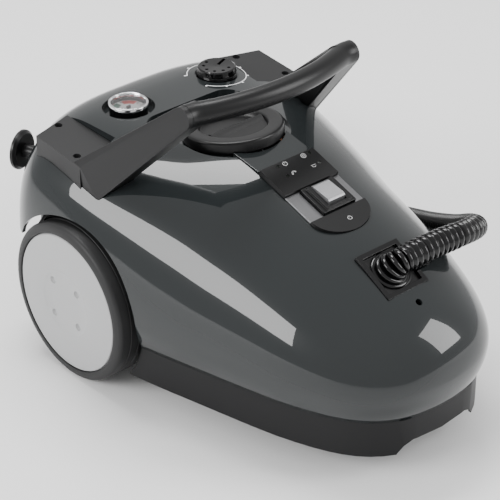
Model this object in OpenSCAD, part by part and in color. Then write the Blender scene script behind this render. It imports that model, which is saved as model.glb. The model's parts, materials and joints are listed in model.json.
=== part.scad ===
// Cylinder-type steam cleaner on two large rear wheels and two front casters.
// Frame: +X right, +Y rear, +Z up, origin on the floor under the middle.

/* [Body] */
// Wall thickness of the upper shell
shell_t = 3; // [2.5:0.5:4]
// Wall thickness of the base tray
tray_t = 3; // [2.5:0.5:4]
// Height of the skirt's lower edge above the floor
skirt_z = 27; // [24:1:30]
// Height of the seam between base tray and upper shell
seam_z = 66; // [60:1:70]

/* [Wheels] */
// Radius of the rear wheels
wheel_r = 85; // [80:1:88]
// Width of a rear tyre
wheel_w = 38; // [30:1:40]
// Outer face of a wheel from the middle plane
wheel_x = 175; // [172:1:178]
// Radius of the wheel arch
arch_r = 92; // [90:1:96]
// Radius of the rear axle
axle_r = 6; // [5:0.5:7]
// Radius of a caster wheel
caster_r = 19; // [17:1:20]

/* [Boiler] */
// Outer radius of the boiler
boiler_r = 60; // [50:1:60]
// Thickness of the boiler wall
boiler_t = 2; // [1.5:0.5:3]
// Radius of the boiler cap's skirt
cap_r = 51.5; // [50:0.5:55]
// Tilt of the boiler cap towards the rear
cap_tilt = 6; // [0:1:12]

/* [Handle] */
// Radius of the cross bar
bar_r = 11; // [10:0.5:13]

/* [Hose] */
// Outer diameter of the steam hose
hose_d = 22; // [20:1:24]

/* [Hidden] */

belt_z = 98;     // height of the widest line of the body
seam_in = 9;    // how far the seam lies inside the widest line
wheel_y = 116;
wheel_z = wheel_r;
caster_x = 46;
caster_y = -148;
// Body stations: y, half width, height of the middle line, roundness of the section
ST = [[-245, 32, 114, 2], [-237, 57, 131, 2], [-222, 79, 148, 2], [-200, 97, 163, 2], [-172, 111, 179, 2],
  [-135, 124, 197, 2], [-95, 134, 213, 2], [-50, 144, 228.5, 2], [-12, 152.5, 239.5, 2.1], [25, 160, 245, 2.3],
  [65, 166, 245, 2.7], [105, 170, 244, 3.2], [145, 171.5, 244, 3.8], [175, 171, 244, 4.2], [193, 168, 243, 4],
  [210, 160, 240, 3.6], [225, 146, 233, 3.2], [238, 118, 216, 2.9], [246, 70, 180, 2.6]];
NOSE = [0, -248, belt_z];
TAIL = [0, 248, belt_z];

function cr(a, b, c, d, t) = 0.5 * (2 * b + (c - a) * t + (2 * a - 5 * b + 4 * c - d) * t * t + (3 * b - a - 3 * c + d) * t * t * t);
// Stations with extra ones between them, on a smooth curve through them all
function fine(n) = let (k = len(ST), L = concat([[-245, -34, 80, 2]], ST, [[249, 30, 140, 2.6]]))
  concat([for (i = [0 : k - 2]) for (j = [0 : n - 1]) cr(L[i], L[i + 1], L[i + 2], L[i + 3], j / n)], [ST[k - 1]]);
function unit(v) = v / norm(v);
// Outward direction in plan at station i of list S
function plan_out(S, i) = let (a = S[max(i - 1, 0)], b = S[min(i + 1, len(S) - 1)],
  t = i == 0 ? [S[1][1] - S[0][1] + 10, S[1][0] - S[0][0]] : [b[1] - a[1], b[0] - a[0]]) unit([t[1], -t[0]]);
// One closed ring of the body, in from the surface by d, with its foot at height zf
function ring(S, i, d, zf, m) = let (s = S[i], w = s[1] - d, h = s[2] - d - belt_z, y = s[0] * (1 - d / 248),
    o = plan_out(S, i), e = 2 / s[3],
    half = concat(
      [[w - seam_in * o[0], y - seam_in * o[1], zf], [w - 0.28 * seam_in * o[0], y - 0.28 * seam_in * o[1], zf + 0.55 * (belt_z - zf)]],
      [for (k = [0 : m - 1]) let (p = 90 * k / m) [w * pow(cos(p), e), y, belt_z + h * pow(sin(p), e)]]))
  concat(half, [[0, y, belt_z + h]], [for (k = [len(half) - 1 : -1 : 0]) [-half[k][0], half[k][1], half[k][2]]]);
module body_solid(d, zf, m = 10, sub = 2) {
  S = fine(sub);
  R = [for (i = [0 : len(S) - 1]) ring(S, i, d, zf, m)];
  n = len(R[0]); k = len(R);
  pts = concat([for (r = R) each r], [NOSE * (1 - d / 248) + [0, 0, d / 248 * belt_z], [0, TAIL[1] - d, TAIL[2]]]);
  faces = concat(
    [for (i = [0 : k - 2]) for (j = [0 : n - 1]) let (a = i * n + j, b = i * n + (j + 1) % n) each [[a, b, a + n], [b, b + n, a + n]]],
    [for (j = [0 : n - 1]) [k * n, (j + 1) % n, j]],
    [for (j = [0 : n - 1]) [k * n + 1, (k - 1) * n + j, (k - 1) * n + (j + 1) % n]]);
  polyhedron(pts, faces, convexity = 6);
}
// Plan outline of the seam, inset by d
function outline(d) = let (S = fine(2), n = len(S),
    q = [for (i = [0 : n - 1]) let (o = plan_out(S, i)) [S[i][1] - (seam_in + d) * o[0], S[i][0] - (seam_in + d) * o[1]]])
  concat([[0, -248 + seam_in + d]], q, [[0, 248 - seam_in - d]], [for (i = [n - 1 : -1 : 0]) [-q[i][0], q[i][1]]]);
mid_y = 6; // the drawn frame lies this far ahead of the middle of the object
module centred() { translate([0, -mid_y, 0]) children(); }
module at_cap() { translate([0, 59.5, 236]) rotate([-cap_tilt, 0, 0]) children(); }
module at_strip() { translate([0, -72.3, 219.6]) rotate([18.2, 0, 0]) children(); }
module at_blank() { translate([0, -1.7, 241.2]) rotate([10, 0, 0]) children(); }
module at_inlet() { translate([0, -164, 180]) rotate([30.6, 0, 0]) children(); }
module both() { children(); mirror([1, 0, 0]) children(); }
module along_x(x, y, z, r, h) { translate([x, y, z]) rotate([0, 90, 0]) cylinder(r = r, h = h, center = true, $fn = 64); }
module along_y(x, y, z, r, h) { translate([x, y, z]) rotate([-90, 0, 0]) cylinder(r = r, h = h, center = true, $fn = 48); }
gauge = [-47.5, 166.5];
knob = [69.5, 165];
module strip_2d(g) {
  translate([-35 - g, -19 - g]) square([70 + 2 * g, 78.5 + 2 * g]);
  translate([0, -19]) scale([35 + g, 28 + g]) circle(r = 1, $fn = 48);
}
module well(g) { at_cap() translate([0, 0, -g]) linear_extrude(60) hull() { circle(r = 57.5 + g, $fn = 64); for (s = [-1, 1]) translate([41 * s, 53]) circle(r = 20 + g, $fn = 32); } }
// Blocks at the rear corners that carry the handle: plan corners of the right one
BLK = [[95, 130], [100, 200], [149, 187], [149, 117]];
function blk_z(y) = 231 + 0.1 * (y - 123);
module block_solid(g, z0) {
  c = [for (p = BLK) p + unit(p - [124, 158]) * g * 1.5];
  polyhedron(concat([for (p = c) [p[0], p[1], z0 - g]], [for (p = c) [p[0], p[1], blk_z(p[1]) + (g > 0 ? 30 : 0)]]),
    [[3, 2, 1, 0], [4, 5, 6, 7], [1, 5, 4, 0], [2, 6, 5, 1], [3, 7, 6, 2], [0, 4, 7, 3]]);
}
module arch_cutter(r, x0) {
  both() { along_x((x0 + 200) / 2, wheel_y, wheel_z, r, 200 - x0); translate([x0, wheel_y, -10]) cube([200 - x0, 200, 138]); }
}

/* Casing */
module base_tray() {
  color([0.13, 0.13, 0.14]) difference() {
    union() {
      difference() {
        translate([0, 0, skirt_z]) linear_extrude(seam_z - skirt_z - 0.4) polygon(outline(0.4));
        translate([0, 0, 43]) linear_extrude(40) polygon(outline(0.4 + tray_t));
        translate([0, 0, 20]) linear_extrude(20) polygon(outline(0.4 + tray_t));
      }
      // caster sockets
      both() translate([caster_x, caster_y, 40]) cylinder(r = 14, h = 26, $fn = 48);
      for (p = SCREWS) translate([p[0], p[1], 42]) cylinder(r = 7.5, h = 8, $fn = 32);
      // flat pad under the floor
      translate([-50, -80, 38.6]) cube([100, 52, 2]);
      // axle posts
      both() translate([90, wheel_y - 14, 42]) cube([14, 28, 60]);
    }
    arch_cutter(arch_r, 112);
    // arch in the front of the skirt
    translate([0, -200, 0]) rotate([90, 0, 0]) linear_extrude(60) polygon([[-52, 20], [-51, 28], [-45, 36], [-35, 40], [35, 40], [45, 36], [51, 28], [52, 20]]);
    both() translate([caster_x, caster_y, 30]) cylinder(r = 5.05, h = 30, $fn = 48);
    along_x(0, wheel_y, wheel_z, axle_r + 0.03, 260);
    translate([0, 2, 35]) cylinder(r = 9.3, h = 12, $fn = 48);
    for (p = SCREWS) translate([p[0], p[1], 30]) { cylinder(r = 2.3, h = 30, $fn = 24); cylinder(r = 4.6, h = 16, $fn = 32); }
  }
}
SCREWS = [[100, -120], [-100, -120], [104, 0], [-104, 0], [70, 225], [-70, 225]];
module upper_shell() {
  color([0.2, 0.22, 0.23]) resize([0, 0, 0]) difference() {
    body_solid(0, seam_z);
    well(0);
    translate([gauge[0], gauge[1], 236]) cylinder(r = 27, h = 40, $fn = 40);
    translate([knob[0], knob[1], 241]) cylinder(r = 23, h = 40, $fn = 40);
    both() block_solid(0.4, 203);
    both() arm_shape(-0.4, 21.4, 0.4);
    difference() {
      body_solid(shell_t, seam_z - 6, 8, 1);
      well(shell_t);
      translate([gauge[0], gauge[1], 236 - shell_t]) cylinder(r = 27 + shell_t, h = 40, $fn = 40);
      translate([knob[0], knob[1], 241 - shell_t]) cylinder(r = 23 + shell_t, h = 40, $fn = 40);
      both() block_solid(0.4 + shell_t, 203);
    }
    arch_cutter(arch_r, 112);
    at_cap() translate([0, 0, -40]) cylinder(r = 33, h = 60, $fn = 48);
    at_strip() translate([0, 0, -14]) linear_extrude(40) strip_2d(0.4);
    at_blank() translate([-35.3, -16, -9]) cube([70.6, 41, 30]);
    at_inlet() translate([-27, -26, -14]) cube([54, 52, 40]);
    relief_room(10);
    translate([gauge[0], gauge[1], 200]) cylinder(r = 7, h = 60, $fn = 24);
    translate([knob[0], knob[1], 200]) cylinder(r = 6, h = 60, $fn = 24);
    // drain hole in the nose
    translate([0, -201, 162]) rotate([40, 0, 0]) cylinder(r = 3.5, h = 40, center = true, $fn = 24);
    // screw holes under the handle blocks
    both() for (h = HOLES) translate([h[0], h[1], 180]) cylinder(r = 2.6, h = 60, $fn = 20);
    // cable outlet and hook stems in the rear wall
    along_y(70, 240, 92, 10.4, 60);
    both() at_hook() translate([0, 0, -30]) cylinder(r = 7.4, h = 40, $fn = 24);
  }
}
module wheel_arch_liners() {
  color([0.1, 0.1, 0.11]) both() difference() {
    along_x(131, wheel_y, wheel_z, arch_r - 0.5, 36);
    along_x(136, wheel_y, wheel_z, arch_r - 3.5, 40);
    translate([100, 0, -20]) cube([70, 250, 63.5]);
    translate([100, wheel_y, -20]) cube([70, 150, 148]);
    along_x(120, wheel_y, wheel_z, axle_r + 0.3, 60);
  }
}
module shell_screws() {
  color([0.55, 0.55, 0.57]) for (p = SCREWS) translate([p[0], p[1], 0]) {
    translate([0, 0, 43.4]) cylinder(r = 4, h = 2.5, $fn = 24);
    translate([0, 0, 45]) cylinder(r = 2, h = 14, $fn = 24);
  }
}

/* Handle */
HOLES = [[118.8, 190], [138.8, 134.3]];
ARM = [[149, 117, 230.2], [144, 95, 201]];   // outer face at the block: upper and lower corner
module arm_shape(x_in, x_out, g = 0) {
  hull() {
    translate([-x_in, 0, 0]) for (q = [[149, 117, 230.2], [148, 128, 231], [146, 96, 201.5], [147, 118, 206]]) translate(q - [x_out - x_in, 0, 0]) translate([0, -1 - g, -1 - g]) cube([x_out - x_in, 1 + 2 * g, 1 + 2 * g]);
    translate([110.5 - x_in - (x_out - x_in) / 2, 8, 311]) rotate([0, 90, 0]) cylinder(r = bar_r + 0.8 + g, h = x_out - x_in, center = true, $fn = 40);
  }
}
module cover_right() {
  difference() {
    block_solid(0, 203);
    for (h = HOLES) translate([h[0], h[1], 180]) { cylinder(r = 2.2, h = 70, $fn = 32); translate([0, 0, blk_z(h[1]) - 180 - 7]) cylinder(r = 4, h = 20, $fn = 32); }
    arm_shape(4, 21);
  }
  difference() { arm_shape(0, 4); block_solid(0, 203); }
}
module handle_cover_right() { color([0.27, 0.27, 0.28]) cover_right(); }
module handle_cover_left() { color([0.27, 0.27, 0.28]) mirror([1, 0, 0]) cover_right(); }
module arm_right() {
  difference() {
    arm_shape(4, 21);
    arm_shape(0, 4);
    // ribs under the arm
    for (i = [0 : 4]) translate([105 - 3 * i, 78 - 17 * i, 214 + 16 * i]) rotate([-38, 0, 0]) translate([0, -5.5, -9]) cube([13, 11, 10]);
  }
}
module handle_arm_right() { color([0.06, 0.06, 0.065]) arm_right(); }
module handle_arm_left() { color([0.06, 0.06, 0.065]) mirror([1, 0, 0]) arm_right(); }
// Cross bar: a tube bowed towards the front, from arm to arm
function bar_at(s) = [88.2 * s, -11.7 + 16.5 * s * s, 312.8 - 1.6 * s * s];
function tube_ring(P, i, r, n) = let (a = P[max(i - 1, 0)], b = P[min(i + 1, len(P) - 1)], t = unit(b - a),
    u = unit(abs(t[2]) > 0.9 ? cross(t, [0, 1, 0]) : cross(t, [0, 0, 1])), v = cross(t, u)) [for (k = [0 : n - 1]) P[i] + r * (cos(360 * k / n) * u + sin(360 * k / n) * v)];
module tube(P, r, n) {
  k = len(P);
  polyhedron([for (i = [0 : k - 1]) each tube_ring(P, i, is_list(r) ? r[i] : r, n)],
    concat([for (i = [0 : k - 2]) for (j = [0 : n - 1]) let (a = i * n + j, b = i * n + (j + 1) % n) each [[a, a + n, b], [b, a + n, b + n]]],
      [[for (j = [0 : n - 1]) j], [for (j = [n - 1 : -1 : 0]) (k - 1) * n + j]]));
}
module handle_grip() { color([0.09, 0.09, 0.095]) tube(concat([for (x = [-89.4, -86]) [x, 4.2, 311.25]], [for (i = [-7 : 7]) bar_at(i / 8)], [for (x = [86, 89.4]) [x, 4.2, 311.25]]), bar_r, 24); }
module handle_screws() {
  color([0.3, 0.3, 0.3]) both() for (h = HOLES) translate([h[0], h[1], 0]) {
    translate([0, 0, blk_z(h[1]) - 6.8]) cylinder(r = 3.8, h = 3, $fn = 32);
    translate([0, 0, 192]) cylinder(r = 2, h = blk_z(h[1]) - 198, $fn = 32);
  }
}

/* Wheels */
module rear_axle() { color([0.6, 0.6, 0.62]) along_x(0, wheel_y, wheel_z, axle_r, 2 * (wheel_x - 12)); }
module axle_clips() {
  color([0.5, 0.5, 0.52]) both() difference() { along_x(wheel_x - 13.5, wheel_y, wheel_z, 10, 1.6); along_x(wheel_x - 13.5, wheel_y, wheel_z, axle_r, 4); }
}
module tyre_right() {
  color([0.08, 0.08, 0.085]) translate([wheel_x - wheel_w, wheel_y, wheel_z]) rotate([0, 90, 0]) rotate_extrude($fn = 96)
    polygon([[74.3, 0.5], [80, 0], [wheel_r - 2, 3], [wheel_r, 6], [wheel_r, wheel_w - 7], [wheel_r - 1.2, wheel_w - 3.5], [wheel_r - 4, wheel_w - 1.2], [wheel_r - 9, wheel_w], [74.3, wheel_w - 1]]);
}
module tyre_left() { mirror([1, 0, 0]) tyre_right(); }
module wheel_disc_right() {
  color([0.78, 0.78, 0.79]) difference() {
    translate([wheel_x - wheel_w, wheel_y, wheel_z]) rotate([0, 90, 0]) rotate_extrude($fn = 96)
      polygon([[axle_r + 0.06, 4], [14, 4], [14, 20], [68, 20], [68, 2], [74.3, 2], [74.3, wheel_w - 2.4], [70, wheel_w - 1], [40, wheel_w + 0.6], [0, wheel_w + 1], [0, wheel_w - 8], [12, wheel_w - 8], [12, wheel_w - 16], [axle_r + 0.06, wheel_w - 16]]);
    for (a = [45 : 90 : 315]) translate([wheel_x + 2, wheel_y, wheel_z]) rotate([a, 0, 0]) translate([0, 27, 0]) rotate([0, 90, 0]) cylinder(r = 3.2, h = 6, center = true, $fn = 24);
  }
}
module wheel_disc_left() { mirror([1, 0, 0]) wheel_disc_right(); }
module fork_right() {
  translate([caster_x, caster_y, 0]) {
    translate([0, 0, 31]) cylinder(r = 5, h = 28, $fn = 48);
    difference() {
      hull() { translate([0, 0, 31]) cylinder(r = 11, h = 6.7, $fn = 32); translate([0, 22, caster_r]) rotate([0, 90, 0]) cylinder(r = 6, h = 21, center = true, $fn = 32); translate([0, 6, 33.8]) cube([21, 12, 7.4], center = true); }
      translate([-7.6, 22 - 21.5, -5]) cube([15.2, 60, 45.9 - 5.4]);
      translate([0, 22, caster_r]) rotate([0, 90, 0]) cylinder(r = caster_r + 2, h = 15.2, center = true, $fn = 48);
      translate([0, 22, caster_r]) rotate([0, 90, 0]) cylinder(r = 2.5, h = 40, center = true, $fn = 32);
    }
    // axle pin
    translate([0, 22, caster_r]) rotate([0, 90, 0]) cylinder(r = 2.5, h = 21, center = true, $fn = 32);
  }
}
module caster_fork_right() { color([0.1, 0.1, 0.1]) fork_right(); }
module caster_fork_left() { color([0.1, 0.1, 0.1]) mirror([1, 0, 0]) fork_right(); }
module cwheel_right() {
  translate([caster_x, caster_y + 22, caster_r]) rotate([0, 90, 0]) rotate_extrude($fn = 64)
    polygon([[2.56, -7], [6, -7], [7, -5.5], [14, -5.5], [15, -7], [caster_r - 1, -7], [caster_r, -5], [caster_r, 5], [caster_r - 1, 7], [15, 7], [14, 5.5], [7, 5.5], [6, 7], [2.56, 7]]);
}
module caster_wheel_right() { color([0.15, 0.15, 0.15]) cwheel_right(); }
module caster_wheel_left() { color([0.15, 0.15, 0.15]) mirror([1, 0, 0]) cwheel_right(); }

/* Boiler */
by0 = -90; by1 = 94; bz = 122;
module boiler_profile(r, a, b) { polygon([[0, a], [r * 0.55, a + 1], [r * 0.85, a + 7], [r, a + 18], [r, b - 18], [r * 0.85, b - 7], [r * 0.55, b - 1], [0, b]]); }
module boiler_tank() {
  color([0.7, 0.7, 0.72]) difference() {
    union() {
      translate([0, 0, bz]) rotate([-90, 0, 0]) rotate_extrude($fn = 72) boiler_profile(boiler_r, by0, by1);
      at_cap() translate([0, 0, -75]) cylinder(r = 29, h = 71, $fn = 64);
      translate([0, 2, 50]) cylinder(r = 11, h = 20, $fn = 48);
    }
    translate([0, 0, bz]) rotate([-90, 0, 0]) rotate_extrude($fn = 72) boiler_profile(boiler_r - boiler_t, by0 + boiler_t, by1 - boiler_t);
    at_cap() translate([0, 0, -26.9]) cylinder(r = 24.3, h = 40, $fn = 64);
    at_cap() translate([0, 0, -80]) cylinder(r = 18, h = 60, $fn = 64);
    translate([0, 2, 40]) cylinder(r = 6.05, h = 40, $fn = 48);
    along_y(0, by0, bz, 20, 12);
  }
}
module boiler_jacket() {
  color([0.75, 0.72, 0.62]) difference() {
    along_y(0, 2, bz, boiler_r + 6, 130);
    along_y(0, 2, bz, boiler_r + 0.3, 140);
    at_cap() translate([0, 0, -80]) cylinder(r = 30, h = 90, $fn = 48);
    translate([0, 2, 40]) cylinder(r = 12, h = 30, $fn = 48);
    translate([28, -40, bz + 40]) cylinder(r = 14, h = 60, $fn = 48);
    translate([-28, -40, bz + 40]) cylinder(r = 12, h = 60, $fn = 48);
    translate([boiler_r - 14, 20, bz]) rotate([0, 90, 0]) cylinder(r = 15, h = 60, $fn = 48);
  }
}
module boiler_saddles() {
  color([0.5, 0.5, 0.52]) difference() {
    for (y = [-71.5, 74.5]) translate([-45, y - 3, 43.3]) cube([90, 6, 42]);
    along_y(0, 0, bz, boiler_r + 0.2, 300);
  }
}
module heating_element() {
  color([0.45, 0.38, 0.3]) {
    along_y(0, by0 - 3, bz, 26, 5.8);
    for (x = [-13, 13]) along_y(x, -22, bz - 6, 4, 164);
    translate([-13, 56, bz - 6]) rotate([0, 90, 0]) cylinder(r = 3.4, h = 26, $fn = 48);
  }
}
module drain_plug() {
  color([0.72, 0.6, 0.3]) translate([0, 2, 0]) { translate([0, 0, 36.5]) cylinder(r = 8.8, h = 13, $fn = 6); translate([0, 0, 49.4]) cylinder(r = 6, h = 14, $fn = 48); }
}
module cap_knob() {
  color([0.07, 0.07, 0.075]) at_cap() difference() {
    union() {
      rotate_extrude($fn = 96) polygon([[0, 1], [cap_r - 0.8, 1], [cap_r, 2], [cap_r, 11.4], [cap_r - 0.8, 13], [cap_r - 2.4, 13.8], [37, 13.2], [34.5, 12.4], [33, 6.5], [0, 6.5]]);
      translate([0, 0, 6]) linear_extrude(6.6) intersection() { square([80, 12], center = true); circle(r = 34.2, $fn = 64); }
      difference() { translate([0, 0, -19]) cylinder(r = 24, h = 20.5, $fn = 64); translate([0, 0, -20]) cylinder(r = 20.4, h = 19, $fn = 64); }
    }
    translate([0, 0, -2]) cylinder(r = 4.1, h = 7, $fn = 32);
  }
}
module cap_seal_disc() {
  color([0.72, 0.6, 0.3]) at_cap() {
    translate([0, 0, -23.3]) cylinder(r = 23.8, h = 3.8, $fn = 64);
    translate([0, 0, -20]) cylinder(r = 4, h = 23, $fn = 32);
    translate([0, 0, -19.5]) cylinder(r = 9, h = 3, $fn = 6);
  }
}
module cap_gasket() { color([0.35, 0.1, 0.08]) at_cap() difference() { translate([0, 0, -26.5]) cylinder(r = 23.6, h = 3.2, $fn = 64); translate([0, 0, -30]) cylinder(r = 17, h = 10, $fn = 64); } }

/* Steam circuit */
module steam_knob() {
  color([0.08, 0.08, 0.085]) translate([knob[0], knob[1], 0]) difference() {
    union() {
      translate([0, 0, 242]) rotate_extrude($fn = 64) polygon([[0, 0], [21.5, 0], [21, 5], [20, 9.5], [18.5, 10.5], [0, 9.5]]);
      translate([0, 0, 222]) cylinder(r = 4, h = 21, $fn = 32);
    }
    translate([10, 4, 250]) rotate(20) cube([14, 3.4, 6], center = true);
    for (a = [100 : 40 : 300]) rotate(a) translate([13.5, 0, 250.6]) cylinder(r = 1.8, h = 5, $fn = 20);
  }
}
module steam_valve() {
  color([0.72, 0.6, 0.3]) translate([knob[0], knob[1], 0]) difference() {
    union() { translate([0, 0, 206]) cylinder(r = 13, h = 24, $fn = 6); translate([-30, 0, 214]) rotate([0, 90, 0]) cylinder(r = 6, h = 30, $fn = 32); translate([0, 0, 214]) rotate([0, 90, 0]) cylinder(r = 6, h = 16, $fn = 32); }
    translate([0, 0, 220]) cylinder(r = 4.06, h = 20, $fn = 32);
  }
}
module pipe(P, r) { tube(P, r, 12); }
module steam_pipes() {
  color([0.72, 0.45, 0.3]) {
    pipe([[38, 72, 170.8], [38, 72, 184], [37, 84, 193], [33, 110, 195], [29, 140, 197], [28, 156, 206], [32, 164, 213], [39.4, 165, 214]], 3);
    pipe([[85.6, 165, 214], [87, 158, 208], [87, 140, 194], [95, 100, 186], [104, 60, 184], [104, 0, 180], [96, -60, 166], [82, -96, 156], [66, -113, 152.6], [54.1, -116, 152.6]], 3);
    pipe([[21.9, -116, 152.6], [12, -118, 152.6], [4, -127, 152.6], [0, -140, 152.6], [0, -146, 153.6], [0, -148.6, 153.8]], 3);
  }
}
module pressure_switch() {
  color([0.6, 0.6, 0.62]) difference() {
    union() { translate([28, -40, bz + 45]) cylinder(r = 11, h = 26.6, $fn = 48); translate([28, -40, bz + 71]) cylinder(r = 8, h = 8.6, $fn = 48); }
    along_y(0, -40, bz, boiler_r + 0.05, 60);
  }
  color([0.6, 0.6, 0.62]) difference() { translate([-28, -40, bz + 45]) cylinder(r = 8, h = 32.6, $fn = 6); along_y(0, -40, bz, boiler_r + 0.05, 60); }
}
module safety_thermostat() { color([0.85, 0.82, 0.75]) translate([boiler_r + 0.2, 20, bz]) rotate([0, 90, 0]) { cylinder(r = 12, h = 9, $fn = 48); translate([0, 0, 9]) cylinder(r = 7, h = 5, $fn = 48); } }
module solenoid_valve() {
  color([0.3, 0.3, 0.32]) difference() {
    union() {
      translate([22, -128, 140]) cube([32, 24, 20]);
      translate([38, -116, 160]) cylinder(r = 13, h = 26, $fn = 48);
      translate([38, -116, 140]) mirror([0, 0, 1]) cylinder(r = 8, h = 12, $fn = 48);
    }
    translate([38, -116, 144]) cylinder(r = 6.05, h = 38, $fn = 48);
  }
}
module solenoid_plunger() { color([0.75, 0.75, 0.77]) translate([38, -116, 0]) difference() { translate([0, 0, 144.4]) cylinder(r = 6, h = 30, $fn = 48); translate([0, 0, 156]) cylinder(r = 4.6, h = 30, $fn = 48); } }
module solenoid_spring() { color([0.7, 0.7, 0.7]) translate([38, -116, 0]) difference() { translate([0, 0, 160.5]) cylinder(r = 4.2, h = 21.5, $fn = 48); translate([0, 0, 150]) cylinder(r = 3.1, h = 40, $fn = 48); } }
module gauge_case() {
  color([0.06, 0.06, 0.065]) translate([gauge[0], gauge[1], 0]) difference() {
    union() { translate([0, 0, 236.5]) cylinder(r = 19.6, h = 8.7, $fn = 72); translate([0, 0, 214]) cylinder(r = 5, h = 23, $fn = 48); }
    translate([0, 0, 239.5]) cylinder(r = 18, h = 20, $fn = 72);
  }
}
module gauge_bezel() { color([0.85, 0.85, 0.86]) translate([gauge[0], gauge[1], 0]) rotate_extrude($fn = 96) polygon([[17.6, 245.3], [20.6, 245.3], [20.9, 246.6], [20.4, 249], [19.2, 250], [18.2, 249.4], [17.6, 248]]); }
module gauge_dial() { color([0.9, 0.9, 0.9]) translate([gauge[0], gauge[1], 240]) difference() { cylinder(r = 17.8, h = 0.8, $fn = 72); translate([0, 0, -1]) cylinder(r = 1.1, h = 4, $fn = 24); } }
module gauge_needle() {
  color([0.05, 0.05, 0.05]) translate([gauge[0], gauge[1], 0]) {
    translate([0, 0, 239.7]) cylinder(r = 1, h = 2, $fn = 24);
    translate([0, 0, 241.3]) cylinder(r = 2.4, h = 1.2, $fn = 32);
    translate([0, 0, 241.4]) rotate(215) linear_extrude(0.7) polygon([[-5, -0.9], [0, -1.1], [14.5, -0.25], [14.5, 0.25], [0, 1.1], [-5, 0.9]]);
  }
}
module gauge_lens() { color([0.8, 0.85, 0.88, 0.3]) translate([gauge[0], gauge[1], 246.2]) cylinder(r = 17.4, h = 1.6, $fn = 72); }

/* Control strip */
module blank_plate() { color([0.2, 0.21, 0.22]) at_blank() difference() { translate([-35, -14.9, -6]) cube([70, 39, 5.2]); at_blank_cap(); } }
module at_blank_cap() { rotate([-10, 0, 0]) translate([0, 1.7, -241.2]) at_cap() translate([0, 0, -20]) cylinder(r = cap_r + 1.2, h = 60, $fn = 64); }
module led_panel() {
  color([0.05, 0.05, 0.05]) at_strip() difference() {
    translate([-35, 19.4, -10]) cube([70, 38.4, 12.6]);
    for (x = [-14.8, 27]) for (y = [39, 53.9]) translate([x, y, -3]) cylinder(r = 2.05, h = 10, $fn = 24);
    translate([-30, 24, -11]) cube([60, 29, 7]);
  }
}
module led_lights() { color([0.2, 0.25, 0.2]) at_strip() for (x = [-14.8, 27]) for (y = [39, 53.9]) translate([x, y, -2.9]) cylinder(r = 2, h = 4.9, $fn = 24); }
module switch_plate() {
  color([0.66, 0.66, 0.67]) at_strip() difference() { translate([-35, -18.9, -3]) cube([70, 38, 2.2]); translate([-17.3, -18, -5]) cube([42.6, 36.2, 10]); }
}
module rocker_frame() {
  color([0.04, 0.04, 0.045]) at_strip() difference() {
    union() { translate([-17, -17.7, -14]) cube([42, 35.6, 17]); translate([-12, -16, 2]) cube([32, 32, 3.4]); }
    translate([-7, -13.6, -11]) cube([22, 29.2, 40]);
    translate([-20, 1, -2]) rotate([0, 90, 0]) cylinder(r = 1.55, h = 60, $fn = 24);
  }
}
module rocker_paddle() {
  color([0.75, 0.75, 0.76]) at_strip() translate([4, 1, -2]) rotate([-6, 0, 0]) {
    intersection() { translate([-10.5, -13.2, -3]) cube([21, 26.4, 13]); translate([-10.5, 0, -12]) rotate([0, 90, 0]) cylinder(r = 24.4, h = 21, $fn = 64); }
    translate([-14, 0, 0]) rotate([0, 90, 0]) cylinder(r = 1.5, h = 28, $fn = 24);
  }
}
module panel_end_trim() { color([0.09, 0.09, 0.095]) at_strip() translate([0, 0, -8]) linear_extrude(9) difference() { translate([0, -19.6]) scale([35, 27.4]) circle(r = 1, $fn = 64); translate([-50, -19.4]) square([100, 60]); } }
module control_board() {
  color([0.1, 0.35, 0.2]) at_strip() translate([-30, 22, -17]) cube([60, 36, 1.6]);
  color([0.1, 0.1, 0.1]) at_strip() for (x = [-20, 0, 18]) translate([x - 6, 34, -15.4]) cube([12, 10, 8.5]);
}

/* Hose */
// Room for the strain relief where it crosses the rim of the recess
module relief_room(x0) { translate([x0, -166, 187.1]) rotate([0, 91.5, 0]) rotate([0, 0, 1]) cylinder(r = 14.7, h = 78, $fn = 48); }
module hose_bezel() { color([0.03, 0.03, 0.03]) difference() { at_inlet() difference() { translate([-26.7, -25.7, -8]) cube([53.4, 51.4, 11]); translate([-22, -21, -20]) cube([44, 42, 40]); } relief_room(15.9); } }
module hose_elbow() {
  color([0.12, 0.12, 0.12]) difference() {
    union() {
      at_inlet() { translate([-21.8, -20.8, -7]) cube([43.6, 41.6, 6.6]); translate([0, 0, -0.5]) cylinder(r1 = 19, r2 = 15, h = 6, $fn = 64); translate([0, 0, -30]) cylinder(r = 6, h = 24, $fn = 48); }
      translate([0, -166, 187]) sphere(r = 14, $fn = 48);
      translate([0, -166, 187]) rotate([0, 90, 0]) cylinder(r = 12.5, h = 15.4, $fn = 48);
    }
    relief_room(15.7);
  }
}
// Route of the hose from the elbow to the coil on the floor
ROUTE = [[16, -166, 187], [40, -165.5, 187], [64, -164.5, 185.5], [90, -164, 183], [111, -161, 179.5], [131, -151, 172], [143, -132, 161],
  [150, -108, 147], [157, -71, 131], [165, -33, 117], [176, -6, 104], [190, 20, 86], [203, 57, 62], [214, 97, 40], [224, 137, 22],
  [234, 172, 12], [249, 207, 11.2], [266, 232, 11.2], [285, 252, 11.2]];
coil_c = [207, 330]; coil_r = 110;
function route_fine(P, n) = concat([for (i = [0 : len(P) - 2]) for (j = [0 : n - 1]) cr(i > 0 ? P[i - 1] : 2 * P[0] - P[1], P[i], P[i + 1], i < len(P) - 2 ? P[i + 2] : 2 * P[i + 1] - P[i], j / n)], [P[len(P) - 1]]);
module strain_relief() {
  color([0.03, 0.03, 0.03]) tube([ROUTE[0], ROUTE[1], ROUTE[2], [89.3, -164.02, 183.07]], [14, 14, 13.5, 12.6], 32);
}
module hose_run() { color([0.05, 0.05, 0.05]) tube(route_fine([for (i = [3 : len(ROUTE) - 1]) ROUTE[i]], 2), hose_d / 2, 10); }
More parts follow.
